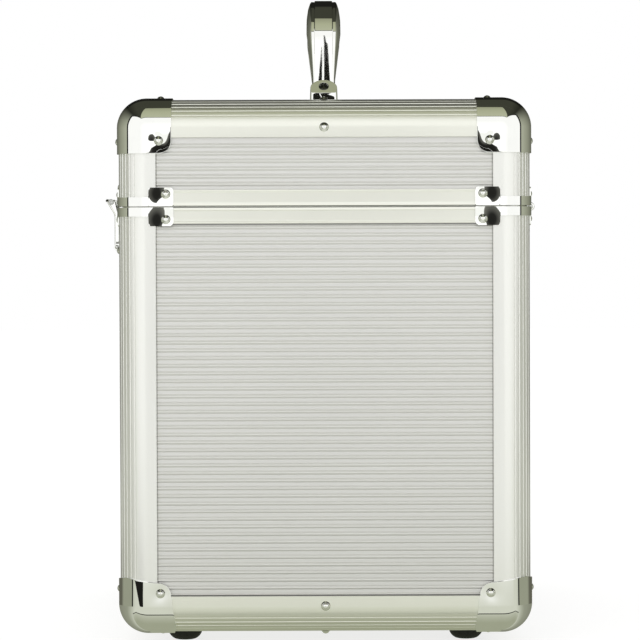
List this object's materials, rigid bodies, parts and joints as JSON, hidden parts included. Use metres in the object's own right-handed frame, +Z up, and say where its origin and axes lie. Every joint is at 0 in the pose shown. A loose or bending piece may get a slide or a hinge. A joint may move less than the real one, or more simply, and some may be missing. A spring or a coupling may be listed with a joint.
{
  "type": "record carrying case",
  "caption": "Upright lidded carrying case with ribbed panels in rounded metal edge extrusions, capped corners, front latches, rear hinges and a folding top handle.",
  "frame": {"origin": "on the floor under the middle of the case body, level with the feet's soles", "axes": "+Z up; the latches are at -Y, the hinges at +Y, and the handle runs along X"},
  "size_m": [0.3562, 0.3067, 0.4637],
  "materials": {
    "extrusion": "satin anodised, fluted round the edge",
    "ribbed_panel": "silver-grey sheet with fine raised ribs",
    "chrome": "bright plated",
    "rubber": "black, moulded",
    "foam": "black foam lining",
    "grip": "black, fine-grained",
    "lock_brass": "nickel-plated brass"
  },
  "bodies": {
    "base": {"back_panel": "ribbed_panel", "base_corner_caps": "chrome", "base_edge_brackets": "chrome", "base_post_back_left": "extrusion", "base_post_back_right": "extrusion", "base_post_front_left": "extrusion", "base_post_front_right": "extrusion", "base_rim_frame": "extrusion", "base_rivets": "chrome", "bottom_rail_back": "extrusion", "bottom_rail_front": "extrusion", "bottom_rail_left": "extrusion", "bottom_rail_right": "extrusion", "floor_pad": "foam", "floor_panel": "ribbed_panel", "front_panel": "ribbed_panel", "hinge_base_leaves": "chrome", "hinge_pins": "chrome", "latch_pins": "chrome", "latch_plate_left": "chrome", "latch_plate_right": "chrome", "left_panel": "ribbed_panel", "right_panel": "ribbed_panel", "rubber_feet": "rubber", "wall_lining": "foam"},
    "lid": {"handle_bracket_left": "chrome", "handle_bracket_right": "chrome", "handle_pins": "chrome", "handle_screws": "chrome", "hinge_lid_leaves": "chrome", "latch_keeper_left": "chrome", "latch_keeper_right": "chrome", "lid_back_panel": "ribbed_panel", "lid_corner_caps": "chrome", "lid_edge_brackets": "chrome", "lid_front_panel": "ribbed_panel", "lid_left_panel": "ribbed_panel", "lid_pad": "foam", "lid_post_back_left": "extrusion", "lid_post_back_right": "extrusion", "lid_post_front_left": "extrusion", "lid_post_front_right": "extrusion", "lid_right_panel": "ribbed_panel", "lid_rim_frame": "extrusion", "lid_rivets": "chrome", "lid_top_panel": "ribbed_panel", "top_rail_back": "extrusion", "top_rail_front": "extrusion", "top_rail_left": "extrusion", "top_rail_right": "extrusion"},
    "handle": {"handle_shell": "chrome", "handle_grip": "grip"},
    "latch_left": {"latch_lever_left": "chrome", "latch_hook_bar_left": "chrome"},
    "lock_left": {"lock_cylinder_left": "lock_brass"},
    "latch_right": {"latch_lever_right": "chrome", "latch_hook_bar_right": "chrome"},
    "lock_right": {"lock_cylinder_right": "lock_brass"}
  },
  "joints": [
    {"name": "lid_hinge", "type": "hinge", "parent": "base", "child": "lid", "pos_m": [0, 0.1473, 0.309], "axis": [-1, 0, 0], "range_deg": [0, 105]},
    {"name": "handle_pivot", "type": "hinge", "parent": "lid", "child": "handle", "pos_m": [0, 0, 0.3945], "axis": [1, 0, 0], "range_deg": [-85, 85]},
    {"name": "latch_left_pivot", "type": "hinge", "parent": "base", "child": "latch_left", "pos_m": [-0.108, -0.1478, 0.281], "axis": [1, 0, 0], "range_deg": [0, 110]},
    {"name": "lock_left_turn", "type": "hinge", "parent": "latch_left", "child": "lock_left", "pos_m": [-0.108, -0.1489, 0.294], "axis": [0, -1, 0], "range_deg": [0, 90]},
    {"name": "latch_right_pivot", "type": "hinge", "parent": "base", "child": "latch_right", "pos_m": [0.108, -0.1478, 0.281], "axis": [1, 0, 0], "range_deg": [0, 110]},
    {"name": "lock_right_turn", "type": "hinge", "parent": "latch_right", "child": "lock_right", "pos_m": [0.108, -0.1489, 0.294], "axis": [0, -1, 0], "range_deg": [0, 90]}
  ]
}
